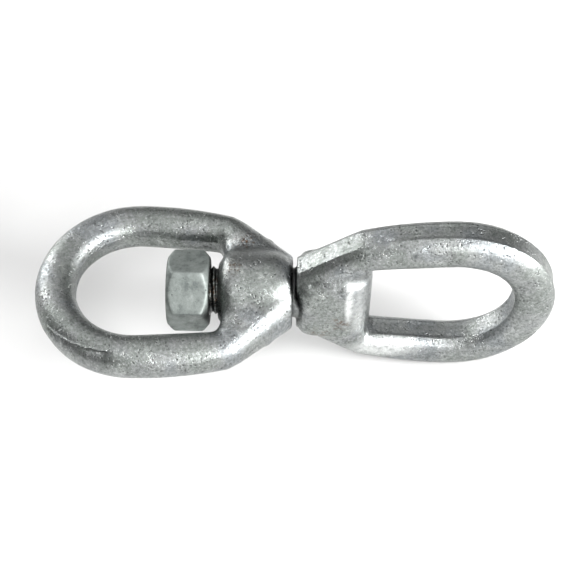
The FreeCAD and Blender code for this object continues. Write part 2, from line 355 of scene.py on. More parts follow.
@dataclass(frozen=True)
class Station:
    """One place along the bar, between its outside line and its inside line."""

    outer: Vector
    inner: Vector
    swell: float = 1.0

    def mirrored(self) -> "Station":
        """The same place on the other arm."""
        flip = Vector((1, -1, 1))
        return Station(self.outer * flip, self.inner * flip, self.swell)

    def place(self, section: BarSection, turn: float) -> Vector:
        """The skin's place at this station for an angle round the section.

        Args:
            section: The bar's section.
            turn: The angle round the section, from outwards towards the upper side.

        Returns:
            The place.
        """
        across = (self.outer - self.inner) / 2
        out, up = section.point(turn, across.length)
        middle = (self.outer + self.inner) / 2
        return middle + across.normalized() * out + Vector((0, 0, up * self.swell))


@dataclass(frozen=True)
class RingLine:
    """The outline of one eye of the swivel, from its joint face to its crown and back."""

    section: BarSection
    reach: float
    opening_half: float
    arm_radius: float
    shoulder: float
    face_half: float
    wall: float
    wall_half: float
    slope_width: float
    slope_swell: float
    inside_bend: float = 1.3
    shoulder_gap: float = 2.0
    face_round: float = 2.2
    slope_steps: int = 8
    steps_past_face: int = 4
    arm_steps: int = 14
    crown_steps: int = 18

    @property
    def crown(self) -> Vector:
        """The centre of the crown."""
        return Vector((self.reach - self.crown_radius, 0, 0))

    @property
    def crown_radius(self) -> float:
        """The outside radius of the crown."""
        return self.opening_half + 2 * self.section.half_width

    def outside(self, along: float) -> Vector:
        """The arm's outside line at a distance from the joint.

        Args:
            along: The distance from the joint.

        Returns:
            The place on the outside line.
        """
        back = self.crown.x - along
        drop = self.arm_radius - math.sqrt(self.arm_radius ** 2 - back ** 2)
        return Vector((along, self.crown_radius - drop, 0))

    def inside(self, along: float) -> float:
        """Half the opening's width at a distance from the joint."""
        share = max(0.0, (self.crown.x - along) / (self.crown.x - self.wall))
        return self.opening_half - (self.opening_half - self.wall_half) * share ** self.inside_bend

    def arm_station(self, along: float) -> Station:
        """A station of the bowed arm.

        Args:
            along: The distance from the joint.

        Returns:
            The station, square to the arm's outside line.
        """
        outer = self.outside(along)
        hub = self.crown + Vector((0, self.crown_radius - self.arm_radius, 0))
        normal = (outer - hub).normalized()
        width = (outer.y - self.inside(along)) * normal.y
        return Station(outer, outer - normal * width)

    def slope_station(self, share: float) -> Station:
        """A station of the slope, from the shoulder at 0 to the joint face at 1.

        Args:
            share: How far down the slope the station is, and past 1 to go through the face.

        Returns:
            The station.
        """
        shoulder = self.outside(self.shoulder)
        face = Vector((JOINT_FACE, self.face_half, 0))
        slope = face - shoulder
        normal = Vector((slope.y, -slope.x, 0)).normalized()
        outer = shoulder + slope * share
        swell = 1 + self.slope_swell * min(1.0, share)
        return Station(outer, outer - normal * self.slope_width, swell)

    def stations(self) -> list[Station]:
        """Every station, from one end of the bar to the other.

        Returns:
            The stations, down one slope, round the crown and back.
        """
        past_face = self.slope_steps + self.steps_past_face
        slope = [self.slope_station(step / self.slope_steps) for step in range(past_face, 0, -1)]
        start = self.shoulder + self.shoulder_gap
        stride = (self.crown.x - start) / self.arm_steps
        arm = [self.arm_station(start + stride * step) for step in range(self.arm_steps)]
        crown = []
        for step in range(self.crown_steps + 1):
            turn = math.radians(90 - 90 * step / self.crown_steps)
            ray = Vector((math.cos(turn), math.sin(turn), 0))
            crown.append(Station(self.crown + ray * self.crown_radius,
                                 self.crown + ray * self.opening_half))
        half = slope + arm + crown
        return half + [station.mirrored() for station in reversed(half[:-1])]

    def outwards(self, place: Vector) -> float:
        """How far a place lies outwards from the middle of the bar.

        Args:
            place: A place in the piece's own frame.

        Returns:
            The distance, less than nothing towards the opening.
        """
        side = abs(place.y)
        if place.x > self.crown.x:
            middle = self.opening_half + self.section.half_width
            return math.hypot(place.x - self.crown.x, side) - middle
        from_arm = side - (self.outside(place.x).y + self.inside(place.x)) / 2
        shoulder = self.outside(self.shoulder)
        rise = (shoulder.y - self.face_half) / (shoulder.x - JOINT_FACE)
        slope = shoulder.y + (place.x - shoulder.x) * rise
        from_slope = (side - slope) / math.hypot(1, rise) + self.section.half_width
        return max(from_arm, from_slope)

    def bar(self) -> bmesh.types.BMesh:
        """The closed bar, cut square at the joint face and rounded there.

        Returns:
            The bar's shape.
        """
        stations = self.stations()
        shape = bmesh.new()
        turn = shape.verts.layers.float.new("turn")
        bmesh.ops.create_circle(shape, cap_ends=False, radius=1.0, segments=self.section.sides)
        for point in shape.verts:
            point[turn] = math.atan2(point.co.y, point.co.x)
            point.co = stations[0].place(self.section, point[turn])
        loop = shape.edges[:]
        for station in stations[1:]:
            grown = bmesh.ops.extrude_edge_only(shape, edges=loop)["geom"]
            points = {part for part in grown if isinstance(part, bmesh.types.BMVert)}
            for point in points:
                point.co = station.place(self.section, point[turn])
            loop = [
                part for part in grown
                if isinstance(part, bmesh.types.BMEdge) and points.issuperset(part.verts)
            ]
        everything = shape.verts[:] + shape.edges[:] + shape.faces[:]
        cut = bmesh.ops.bisect_plane(
            shape, geom=everything, dist=0.0001, plane_co=(JOINT_FACE, 0, 0),
            plane_no=(1, 0, 0), clear_inner=True, clear_outer=False,
        )
        rim = [part for part in cut["geom_cut"] if isinstance(part, bmesh.types.BMEdge)]
        bmesh.ops.holes_fill(shape, edges=rim)
        round_over(shape, rim, self.face_round, steps=4)
        return shape


# ---------------------------------------------------------------- the surface of a forging


@dataclass(frozen=True)
class HammeredSkin:
    """The uneven skin that forging and zinc dipping leave, in millimetres."""

    wave: float = 0.16
    wave_size: float = 13.0
    ripple: float = 0.055
    ripple_size: float = 3.2
    offset: Vector = Vector((0, 0, 0))

    def depth(self, place: Vector) -> float:
        """How far the skin lies under its nominal surface at a place.

        Args:
            place: A place in the piece's own frame.

        Returns:
            The depth in millimetres.
        """
        spot = place + self.offset
        wave = 0.5 + 0.5 * noise.noise(spot / self.wave_size)
        ripple = 0.5 + 0.5 * noise.fractal(spot / self.ripple_size, 0.8, 2.1, 3)
        return self.wave * wave + self.ripple * max(0.0, ripple)

    def work(self, shape: bmesh.types.BMesh, extra: Callable[[Vector], float]) -> None:
        """Sinks a skin by its unevenness.

        Args:
            shape: The skin.
            extra: Gives a further depth at a place, such as that of a lap or a nick.
        """
        shape.normal_update()
        sunk = [self.depth(point.co) + extra(point.co) for point in shape.verts]
        for point, depth in zip(shape.verts, sunk):
            point.co -= point.normal * depth


@dataclass(frozen=True)
class TrimmedBand:
    """The flat that trimming the flash leaves round a ring, with a fine burr along its edges."""

    line: RingLine
    outside: bool
    half_width: float
    hollow: float
    burr_width: float = 0.5
    fade: float = 2.2
    side_share: float = 0.6

    def depth(self, place: Vector) -> float:
        """How far the flat and the bar beside it lie under the burr.

        Args:
            place: A place in the piece's own frame.

        Returns:
            The depth in millimetres.
        """
        out = self.line.outwards(place)
        if (out > 0) != self.outside or abs(out) < self.line.section.half_width * self.side_share:
            return 0.0
        over = abs(place.z) - self.half_width
        burr = math.exp(-(over / self.burr_width) ** 2)
        beside = max(0.0, 1.0 - max(0.0, over) / self.fade)
        return self.hollow * (1 - burr) * beside


def plain(_place: Vector) -> float:
    """No further depth."""
    return 0.0


@dataclass(frozen=True)
class ForgingLap:
    """A shallow fold on the crown, where metal was laid over in the die."""

    crown: Vector
    middle_radius: float
    start: float = 33.0
    end: float = 76.0
    start_turn: float = 32.0
    end_turn: float = 64.0
    step: float = 1.0
    fade: float = 2.6
    bead: float = 0.36
    bead_width: float = 0.45
    lip: float = 0.3
    wander: float = 2.0
    wander_size: float = 5.0
    end_fade: float = 0.1

    def depth(self, place: Vector) -> float:
        """How deep the fold's lower side lies at a place, less than nothing along its bead.

        Args:
            place: A place in the piece's own frame.

        Returns:
            The depth in millimetres.
        """
        spoke = place - self.crown
        turn = math.degrees(math.atan2(spoke.y, spoke.x))
        share = (turn - self.start) / (self.end - self.start)
        if not -self.end_fade < share < 1 + self.end_fade:
            return 0.0
        out = math.hypot(spoke.x, spoke.y) - self.middle_radius
        around = math.degrees(math.atan2(spoke.z, out))
        wander = self.wander * noise.noise(place / self.wander_size)
        line = self.start_turn + (self.end_turn - self.start_turn) * share + wander
        below = math.radians(line - around) * math.hypot(out, spoke.z)
        steepness = 0.8 / self.end_fade
        from_ends = (share + self.end_fade, 1 + self.end_fade - share)
        ends = max(0.0, min(1.0, *(steepness * gap for gap in from_ends)))
        if abs(below) > 3.0 * self.fade:
            return 0.0
        if below < 0:
            return -ends * self.bead * math.exp(-(below / self.bead_width) ** 2)
        fold = math.exp(-below / self.fade) - self.lip * math.exp(-below / self.lip)
        return ends * self.step * fold


# ---------------------------------------------------------------- finishes


def linear(code: str) -> tuple[float, float, float, float]:
    """A colour given as six sRGB hex digits, turned linear.

    Args:
        code: The colour, as # and six digits.

    Returns:
        Its red, green, blue and alpha.
    """
    parts = [int(code[start:start + 2], 16) / 255 for start in (1, 3, 5)]
    light = [part / 12.92 if part <= 0.04045 else ((part + 0.055) / 1.055) ** 2.4 for part in parts]
    return light[0], light[1], light[2], 1.0


@dataclass
class Recipe:
    """A material's node tree, with places taken in millimetres."""

    name: str

    def __post_init__(self) -> None:
        """Starts the material with its shader and its millimetre coordinates."""
        self.material = bpy.data.materials.new(self.name)
        self.material.use_nodes = True
        self.tree = self.material.node_tree
        self.shader = self.tree.nodes["Principled BSDF"]
        place = self.add("ShaderNodeTexCoord")
        self.place = self.add(
            "ShaderNodeMapping", {"Vector": place.outputs["Object"], "Scale": (1000, 1000, 1000)}
        ).outputs["Vector"]

    def add(self, kind: str, sockets: dict | None = None, **settings: object) -> bpy.types.Node:
        """Adds a node.

        Args:
            kind: The node's type name.
            sockets: For each input, by name or number, a value or the output that feeds it.
            **settings: The node's own settings.

        Returns:
            The node.
        """
        node = self.tree.nodes.new(kind)
        for key, value in settings.items():
            setattr(node, key, value)
        for key, value in (sockets or {}).items():
            if isinstance(value, bpy.types.NodeSocket):
                self.tree.links.new(value, node.inputs[key])
            else:
                node.inputs[key].default_value = value
        return node

    def blotches(self, size: float, detail: float = 4.0, rough: float = 0.55,
                 twist: float = 0.0, shift: float = 0.0) -> bpy.types.NodeSocket:
        """Soft random patches of a size in millimetres, from 0 to 1.

        Args:
            size: How wide a patch is.
            detail: How many finer layers are laid over it.
            rough: How strong the finer layers are.
            twist: How far the patches are stirred.
            shift: Moves the pattern, so that two don't match.

        Returns:
            The pattern's value.
        """
        moved = self.add("ShaderNodeVectorMath",
                         {0: self.place, 1: (shift, shift, shift)}, operation="ADD")
        return self.add(
            "ShaderNodeTexNoise",
            {"Vector": moved.outputs[0], "Scale": 1 / size, "Detail": detail,
             "Roughness": rough, "Distortion": twist},
        ).outputs["Fac"]

    def stretched(self, value: bpy.types.NodeSocket, low: float, high: float,
                  to_low: float = 0.0, to_high: float = 1.0) -> bpy.types.NodeSocket:
        """A value carried from one range to another, smoothly and within it.

        Args:
            value: The value.
            low: The end of its range that gives to_low.
            high: The end of its range that gives to_high.
            to_low: The first end of the new range.
            to_high: The second end of the new range.

        Returns:
            The new value.
        """
        return self.add(
            "ShaderNodeMapRange",
            {"Value": value, "From Min": low, "From Max": high,
             "To Min": to_low, "To Max": to_high},
            interpolation_type="SMOOTHSTEP",
        ).outputs["Result"]

    def sum(self, first: bpy.types.NodeSocket, second: bpy.types.NodeSocket | float,
            operation: str = "ADD") -> bpy.types.NodeSocket:
        """Two values put together."""
        return self.add("ShaderNodeMath", {0: first, 1: second}, operation=operation).outputs[0]

    def blended(self, share: bpy.types.NodeSocket | float, under: object, over: object,
                blend: str = "MIX") -> bpy.types.NodeSocket:
        """Two colours blended.

        Args:
            share: How much of the second colour shows.
            under: The first colour.
            over: The second colour.
            blend: How the second is laid over the first.

        Returns:
            The blended colour.
        """
        return self.add(
            "ShaderNodeMix", {0: share, 6: under, 7: over}, data_type="RGBA", blend_type=blend,
        ).outputs[2]

    def shaded_in_corners(self, colour: bpy.types.NodeSocket, corner_shade: str) -> bpy.types.NodeSocket:
        """Painted shade: a colour darkened in corners and gaps, where little light reaches.

        Args:
            colour: The colour before the painted shade.
            corner_shade: The colour of the painted shade.

        Returns:
            The colour with its painted shade.
        """
        # Painted shade: ambient occlusion darkens the colour in corners and gaps.
        open_air = self.add("ShaderNodeAmbientOcclusion", {"Distance": SHADE_REACH * MM}, samples=8)
        share = self.stretched(open_air.outputs["AO"], 0.80, 0.25, 0.0, 0.9)
        return self.blended(share, colour, linear(corner_shade))

    def near(self, spot: tuple[float, float, float], radius: float) -> bpy.types.NodeSocket:
        """1 near a spot in millimetres, falling to 0 at a radius."""
        away = self.add("ShaderNodeVectorMath", {0: self.place, 1: spot}, operation="DISTANCE")
        return self.stretched(away.outputs["Value"], radius * STAIN_CORE, radius, 1.0, 0.0)

    def inside(self, spot: tuple[float, float, float],
               radii: tuple[float, float, float]) -> bpy.types.NodeSocket:
        """1 in the middle of an egg shape with three radii in millimetres, falling to 0.

        Args:
            spot: The egg shape's centre.
            radii: Its radii along the three axes.

        Returns:
            The share.
        """
        spoke = self.add("ShaderNodeVectorMath", {0: self.place, 1: spot}, operation="SUBTRACT")
        share = self.add("ShaderNodeVectorMath", {0: spoke.outputs[0], 1: radii}, operation="DIVIDE")
        away = self.add("ShaderNodeVectorMath", {0: share.outputs[0]}, operation="LENGTH")
        return self.stretched(away.outputs["Value"], HIGHLIGHT_CORE, 1.0, 1.0, 0.0)

    def covered(self, colour: bpy.types.NodeSocket, rough: bpy.types.NodeSocket,
                relief: bpy.types.NodeSocket, depth: float) -> bpy.types.Material:
        """Finishes the material as bare metal.

        Args:
            colour: The metal's colour.
            rough: Its roughness.
            relief: The height of its skin, from 0 to 1.
            depth: What a height of 1 is in millimetres.

        Returns:
            The material.
        """
        bump = self.add(
            "ShaderNodeBump", {"Height": relief, "Strength": 1.0, "Distance": depth * MM})
        self.shader.inputs["Metallic"].default_value = 1.0
        self.tree.links.new(colour, self.shader.inputs["Base Color"])
        self.tree.links.new(rough, self.shader.inputs["Roughness"])
        self.tree.links.new(bump.outputs["Normal"], self.shader.inputs["Normal"])
        return self.material

@dataclass(frozen=True)
class Stain:
    """A patch of light rust bleed, with its centre and radius in millimetres."""

    spot: tuple[float, float, float]
    radius: float
    strength: float


@dataclass(frozen=True)
class PaintedHighlight:
    """A painted highlight: a bright patch laid on the zinc where the lights leave it too dull.

    It has a centre and three radii, in millimetres, and keeps its place on the surface.
    """

    spot: tuple[float, float, float]
    radii: tuple[float, float, float]
    strength: float


@dataclass(frozen=True)
class GalvanisedForging:
    """Hot-dip galvanised drop-forged steel, years on a shelf: dull zinc over hammered scale.

    The zinc is a metal with soft patches about 5 mm wide, and a faint green and blue over
    14 mm where it drained thick or thin. It has a sandy grain, drawn as coarse as it needs
    to show, and dark pin holes where the scale showed through. Painted shade darkens its
    corners and gaps, and painted highlights lie in broken bright patches. Sizes are in millimetres.
    """

    name: str = "hot-dip galvanised forged steel"
    patch_size: float = 5.0
    drained_size: float = 14.0
    grain_size: float = 0.85
    sand_size: float = 0.35
    hole_spacing: float = 1.15
    bleed_size: float = 1.3
    # The size of the flecks that break up the painted highlights.
    highlight_fleck_size: float = 1.6
    relief: float = 0.16
    dark: str = "#535655"
    mid: str = "#8D908F"
    light: str = "#BBBEBD"
    green: str = "#F2F5F1"
    blue: str = "#F0F2F6"
    speck: str = "#2A2A2A"
    rust: str = "#5A4534"
    # The colour of the painted shade in corners and gaps.
    corner_shade: str = "#2B2C2B"
    # The colour of the painted highlights.
    highlight_colour: str = "#ECEEED"
    stains: tuple[Stain, ...] = ()
    painted_highlights: tuple[PaintedHighlight, ...] = ()

    def material(self) -> bpy.types.Material:
        """Builds the material.

        Returns:
            The material.
        """
        mix = Recipe(self.name)
        patches = mix.blotches(self.patch_size, detail=8.0, rough=0.74, twist=0.2)
        drained = mix.blotches(self.drained_size, detail=2.0, shift=40.0)
        grain = mix.blotches(self.grain_size, detail=6.0, rough=0.78)
        sand = mix.blotches(self.sand_size, detail=2.0, rough=0.6, shift=9.0)

        low = mix.blended(mix.stretched(patches, 0.24, 0.47), linear(self.dark), linear(self.mid))
        zinc = mix.blended(mix.stretched(patches, 0.50, 0.74), low, linear(self.light))
        greened = mix.blended(
            mix.stretched(drained, 0.48, 0.62), zinc, linear(self.green), "MULTIPLY")
        blued = mix.blended(
            mix.stretched(drained, 0.50, 0.38), greened, linear(self.blue), "MULTIPLY")
        brighter = mix.blended(mix.stretched(grain, 0.50, 0.68, 0.0, 0.75), blued, linear(self.light))
        grained = mix.blended(mix.stretched(grain, 0.49, 0.31, 0.0, 1.0), brighter, linear(self.dark))

        holes = mix.add("ShaderNodeTexVoronoi", {"Vector": mix.place, "Scale": 1 / self.hole_spacing})
        deep = mix.stretched(holes.outputs["Distance"], 0.38, 0.14)
        chosen = mix.stretched(mix.blotches(4.0, detail=4.0, shift=80.0), 0.47, 0.57)
        pits = mix.sum(deep, chosen, "MULTIPLY")
        colour = mix.blended(mix.sum(pits, 0.6, "MULTIPLY"), grained, linear(self.speck))
        # Painted highlights: bright patches laid into the colour where the lights leave the zinc too
        # dull.
        for highlight in self.painted_highlights:
            flecks = mix.blotches(self.highlight_fleck_size, detail=5.0, rough=0.7)
            broken = mix.stretched(flecks, 0.3, 0.6, 0.35, 1.0)
            share = mix.sum(mix.inside(highlight.spot, highlight.radii), broken, "MULTIPLY")
            shown = mix.sum(share, highlight.strength, "MULTIPLY")
            colour = mix.blended(shown, colour, linear(self.highlight_colour))
        for stain in self.stains:
            flecks = mix.blotches(self.bleed_size, detail=5.0, rough=0.7, shift=stain.radius)
            spread = mix.stretched(flecks, 0.47, 0.62)
            bleed = mix.sum(mix.near(stain.spot, stain.radius), spread, "MULTIPLY")
            share = mix.sum(bleed, stain.strength, "MULTIPLY")
            colour = mix.blended(share, colour, linear(self.rust))
        # Painted shade in corners and gaps.
        colour = mix.shaded_in_corners(colour, self.corner_shade)

        dull = mix.stretched(patches, 0.35, 0.68, 0.37, 0.24)
        rough = mix.sum(dull, mix.stretched(grain, 0.3, 0.7, 0.06, -0.05))

        height = mix.sum(grain, mix.sum(sand, 0.35, "MULTIPLY"))
        relief = mix.sum(height, mix.sum(pits, -0.8, "MULTIPLY"))
        return mix.covered(colour, rough, relief, self.relief)


@dataclass(frozen=True)
class GalvanisedNut:
    """A machined hexagon nut, hot-dip galvanised and spun: a smooth, matt, bluish zinc skin.

    It has soft patches about 5 mm wide, a fine even grain, a few pin holes and painted shade
    in its corners and gaps. Sizes are in millimetres.
    """

    name: str = "hot-dip galvanised machined steel nut"
    patch_size: float = 5.0
    grain_size: float = 0.6
    hole_spacing: float = 2.6
    relief: float = 0.06
    dark: str = "#6E7472"
    mid: str = "#8B918E"
    light: str = "#A0A6A3"
    speck: str = "#303333"
    # The colour of the painted shade in corners and gaps.
    corner_shade: str = "#2B2C2B"

    def material(self) -> bpy.types.Material:
        """Builds the material.

        Returns:
            The material.
        """
        mix = Recipe(self.name)
        patches = mix.blotches(self.patch_size, detail=7.0, rough=0.7, shift=22.0)
        grain = mix.blotches(self.grain_size, detail=4.0, rough=0.7, shift=5.0)
        low = mix.blended(mix.stretched(patches, 0.34, 0.52), linear(self.dark), linear(self.mid))
        zinc = mix.blended(mix.stretched(patches, 0.50, 0.70), low, linear(self.light))
        grained = mix.blended(mix.stretched(grain, 0.46, 0.24, 0.0, 0.4), zinc, linear(self.dark))
        holes = mix.add("ShaderNodeTexVoronoi", {"Vector": mix.place, "Scale": 1 / self.hole_spacing})
        pits = mix.stretched(holes.outputs["Distance"], 0.16, 0.06)
        pitted = mix.blended(mix.sum(pits, 0.6, "MULTIPLY"), grained, linear(self.speck))
        # Painted shade in corners and gaps.
        colour = mix.shaded_in_corners(pitted, self.corner_shade)
        rough = mix.stretched(patches, 0.3, 0.7, 0.68, 0.58)
        relief = mix.sum(grain, mix.sum(pits, -0.8, "MULTIPLY"))
        return mix.covered(colour, rough, relief, self.relief)


# ---------------------------------------------------------------- pieces


def finished_piece(
    name: str, shape: bmesh.types.BMesh, lie: Matrix, sharp_angle: float = 40.0
) -> bpy.types.Object:
    """Lays a shape in the row frame as a finished object at the origin.

    Args:
        name: The piece's name.
        shape: The shape in its own frame, in millimetres.
        lie: The turn from its own frame to the row frame.
        sharp_angle: Edges that turn by more than this many degrees stay crisp.

    Returns:
        The piece.
    """
    bmesh.ops.transform(shape, matrix=Matrix.Scale(MM, 4) @ lie, verts=shape.verts)
    bmesh.ops.recalc_face_normals(shape, faces=shape.faces)
    for face in shape.faces:
        face.smooth = True
    piece = bench_object(name, shape)
    piece.data.set_sharp_from_angle(angle=math.radians(sharp_angle))
    return piece


def settle(
    piece: bpy.types.Object, rider: Rider, node: str, finish: bpy.types.Material
) -> None:
    """Gives a piece its finish and its place in the frame, and logs it.

    Args:
        piece: The finished piece.
        rider: The half that it turns with.
        node: The CAD node that it stands for.
        finish: Its material.
    """
    piece.data.materials.append(finish)
    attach(piece, rider.value)
    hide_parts(node)
    low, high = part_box(node)
    size = [round((top - bottom) / MM, 1) for bottom, top in zip(low, high)]
    LOG.info("%s stands for %s, %s mm, %d faces", piece.name, node, size, len(piece.data.polygons))


@dataclass(frozen=True)
class Web:
    """A rounded slab of forged metal across the axis, ending short of an opening's wall."""

    start: float
    short: float
    half_width: float
    half_depth: float
    rounding: float

    def block(self, wall: float) -> bmesh.types.BMesh:
        """The web's shape, for an opening whose wall is at a given place."""
        low = (self.start, -self.half_width, -self.half_depth)
        return rounded_block(low, (wall - self.short, self.half_width, self.half_depth), self.rounding)


@dataclass
class SwivelBow:
    """The lying eye, whose boss the eye bolt turns in."""

    line: RingLine
    boss_radius: float = 13.0
    boss_end: float = 23.2
    outer_round: tuple[float, float] = (8.5, 4.0)
    inner_round: float = 4.0
    nose_radius: float = 9.2
    nose_end: float = 24.2
    nose_edge: float = 0.5
    bore_radius: float = 8.35
    bore_chamfer: float = 0.5
    wide_web: Web = Web(6.0, 0.0, 18.5, 6.3, 3.4)
    thick_web: Web = Web(5.0, 0.6, 15.0, 8.0, 5.0)
    die_half_width: float = 26.0
    die_reach: float = 9.0
    fill_rounds: int = 20
    blend_passes: int = 6
    inner_flat: float = 1.9
    inner_hollow: float = 0.25
    grain: float = 0.42
    stains: tuple[Stain, ...] = (
        Stain((-16.0, 14.0, 7.5), 5.5, 1.0),
        Stain((-18.8, 0.0, 13.0), 4.0, 0.9),
        Stain((-8.0, 12.0, 4.0), 4.0, 0.5),
    )

    def boss(self) -> bmesh.types.BMesh:
        """The round boss with its nose towards the nut.

        Returns:
            The boss, still without its bore.
        """
        face, end, radius = JOINT_FACE, self.boss_end, self.boss_radius
        reach, drop = self.outer_round
        front = corner_arc((face + reach, radius - drop), (reach, drop), 180, 90)
        turn_in = self.inner_round
        back = corner_arc((end - turn_in, radius - turn_in), (turn_in, turn_in), 90, 0)
        edge = self.nose_edge
        nose = [(end, self.nose_radius), (self.nose_end - edge, self.nose_radius),
                (self.nose_end, self.nose_radius - edge), (self.nose_end, 0)]
        return turned([(face, 0)] + front + back[:-1] + nose)

    def bore_tool(self) -> bmesh.types.BMesh:
        """The reamer that opens the bore and breaks its edges.

        Returns:
            The tool's shape.
        """
        wide = self.bore_radius + self.bore_chamfer
        face, end = JOINT_FACE, self.nose_end
        return turned([
            (face - OVERRUN, 0), (face - OVERRUN, wide + OVERRUN), (face, wide),
            (face + self.bore_chamfer, self.bore_radius),
            (end - self.bore_chamfer, self.bore_radius), (end, wide),
            (end + OVERRUN, wide + OVERRUN), (end + OVERRUN, 0),
        ])

    def webs(self) -> list[bmesh.types.BMesh]:
        """The forged metal between the boss and the arms."""
        return [web.block(self.line.wall) for web in (self.wide_web, self.thick_web)]

    def marks(self, place: Vector) -> float:
        """The depth of the fold on the crown and of the trimmed inside.

        Args:
            place: A place in the piece's own frame.

        Returns:
            The depth in millimetres.
        """
        middle = self.line.opening_half + self.line.section.half_width
        lap = ForgingLap(self.line.crown, middle)
        inside = TrimmedBand(
            self.line, outside=False, half_width=self.inner_flat, hollow=self.inner_hollow)
        return lap.depth(place) + (inside.depth(place) if place.x > self.line.wall + 2 else 0.0)

    def near_boss(self, place: Vector) -> bool:
        """Whether a place is near the boss's blends."""
        return place.x < self.line.wall + self.die_reach and abs(place.y) < self.die_half_width

    def build(self) -> bpy.types.Object:
        """Builds the bow's mesh.

        Returns:
            The finished bow.
        """
        skin = forged_together([self.line.bar(), self.boss()] + self.webs(), self.grain)
        smooth(skin, skin.verts[:], 3)
        fill_hollows(skin, self.fill_rounds, self.near_boss)
        blends = [point for point in skin.verts if self.near_boss(point.co)]
        smooth(skin, blends, self.blend_passes)
        HammeredSkin(offset=Vector((31, 7, 5))).work(skin, self.marks)
        bored = machined(skin, self.bore_tool(), Cut.AWAY)
        return finished_piece("swivel_bow_forging", bored, Matrix.Rotation(math.pi, 4, "Z"))

    def dress(self, piece: bpy.types.Object) -> None:
        """Gives the bow its finish and its place."""
        finish = GalvanisedForging(stains=self.stains).material()
        settle(piece, Rider.BOW, "swivel_bow", finish)


@dataclass
class EyeBolt:
    """The upright eye with its neck block and its threaded shank, forged in one."""

    line: RingLine
    neck_half_width: float = 12.8
    neck_taper: float = 1.18
    neck_half_depth: float = 10.0
    neck_wall_depth: float = 9.4
    neck_wall: float = 24.2
    neck_round: float = 5.0
    block_overlap: float = 1.5
    wall_round: float = 8.7
    wall_end_round: float = 4.5
    shank_radius: float = 7.94
    root_radius: float = 6.7
    flare_radius: float = 8.1
    flare_length: float = 1.3
    shank_root: float = 8.0
    pitch: float = 2.31
    thread_start: float = -24.6
    thread_fade: float = 1.2
    thread_gap: float = 0.35
    thread_sink: float = 0.3
    flank_share: float = 0.46
    crest_share: float = 0.1
    steps_per_turn: int = 40
    shank_end: float = -40.0
    die_start: float = 3.0
    die_reach: float = 7.0
    die_outwards: float = 3.0
    fill_rounds: int = 9
    blend_passes: int = 2
    nick_depth: float = 0.22
    nick_size: float = 1.5
    nick_reach: float = 12.0
    outer_flat: float = 2.9
    outer_hollow: float = 0.18
    inner_flat: float = 3.1
    inner_hollow: float = 0.22
    grain: float = 0.42
    stains: tuple[Stain, ...] = (
        Stain((14.3, -10.0, -4.0), 5.0, 0.8),
        Stain((8.0, -9.5, -9.0), 5.0, 0.6),
        Stain((-25.4, -4.0, 6.0), 7.0, 1.6),
    )
    # Painted highlights on the neck's rounded wall and on the lower arm.
    painted_highlights: tuple[PaintedHighlight, ...] = (
        PaintedHighlight((16.9, -9.0, 6.5), (1.9, 4.0, 14.0), 0.95),
        PaintedHighlight((20.8, -7.5, 2.0), (4.5, 5.0, 20.0), 0.5),
        PaintedHighlight((29.0, -6.3, -21.0), (16.0, 5.0, 5.5), 0.7),
    )

    def neck(self) -> list[bmesh.types.BMesh]:
        """The neck block, wider and thinner towards the opening, and its half-round wall.

        Returns:
            The block and the wall, overlapping.
        """
        hub = self.neck_wall - self.wall_round
        block = rounded_block(
            (JOINT_FACE, -self.neck_half_width, -self.neck_half_depth),
            (hub + self.block_overlap, self.neck_half_width, self.neck_half_depth), self.neck_round)
        wall_end = [point for point in block.verts if point.co.x > hub / 2]
        thin = self.neck_wall_depth / self.neck_half_depth
        bmesh.ops.scale(block, vec=(1, self.neck_taper, thin), verts=wall_end)
        wall = bmesh.new()
        bmesh.ops.create_cone(
            wall, cap_ends=True, segments=64, radius1=self.wall_round, radius2=self.wall_round,
            depth=2 * self.neck_half_width * self.neck_taper)
        rims = [edge for edge in wall.edges if max(len(face.verts) for face in edge.link_faces) > 4]
        round_over(wall, rims, self.wall_end_round)
        bmesh.ops.rotate(
            wall, cent=(0, 0, 0), matrix=Matrix.Rotation(math.pi / 2, 3, "X"), verts=wall.verts)
        depth_share = self.neck_wall_depth / self.wall_round
        bmesh.ops.scale(wall, vec=(1, 1, depth_share), verts=wall.verts)
        bmesh.ops.translate(wall, vec=(hub, 0, 0), verts=wall.verts)
        return [block, wall]

    def shank(self) -> list[bmesh.types.BMesh]:
        """The shank's body and the thread's ridge wound round it.

        Returns:
            The body and the ridge, overlapping.
        """
        body = turned([
            (self.shank_end, 0), (self.shank_end, self.flare_radius),
            (self.shank_end + self.flare_length, self.root_radius),
            (self.thread_start, self.root_radius),
            (self.thread_start + self.thread_fade, self.shank_radius),
            (self.shank_root, self.shank_radius), (self.shank_root, 0),
        ])
        flank = self.pitch * self.flank_share
        crest = self.pitch * self.crest_share
        start = self.shank_end + flank + self.thread_gap
        sunk = self.root_radius - self.thread_sink
        outline = [
            (start - flank, sunk), (start - crest, self.shank_radius),
            (start + crest, self.shank_radius), (start + flank, sunk),
        ]
        ridge = bmesh.new()
        first = ridge.faces.new([ridge.verts.new((along, 0, high)) for along, high in outline])
        steps = int((self.thread_start - start) / self.pitch * self.steps_per_turn)
        bmesh.ops.spin(
            ridge, geom=[first], cent=(0, 0, 0), axis=(1, 0, 0),
            dvec=(self.pitch / self.steps_per_turn, 0, 0),
            angle=FULL_TURN * steps / self.steps_per_turn, steps=steps, use_merge=False,
        )
        bmesh.ops.remove_doubles(ridge, verts=ridge.verts, dist=0.0005)
        return [body, ridge]

    def near_neck(self, place: Vector) -> bool:
        """Whether a place is near the neck's blends, away from the trimmed outside."""
        within = self.die_start < place.x < self.neck_wall + self.die_reach
        return within and self.line.outwards(place) < self.die_outwards

    def nicks(self, place: Vector) -> float:
        """Small dents along the outer band's edges.

        Args:
            place: A place in the piece's own frame.

        Returns:
            The depth in millimetres.
        """
        if place.x < self.line.crown.x - self.nick_reach:
            return 0.0
        dent = noise.noise(place / self.nick_size + Vector((3, 9, 4)))
        return self.nick_depth * max(0.0, dent - 0.42)

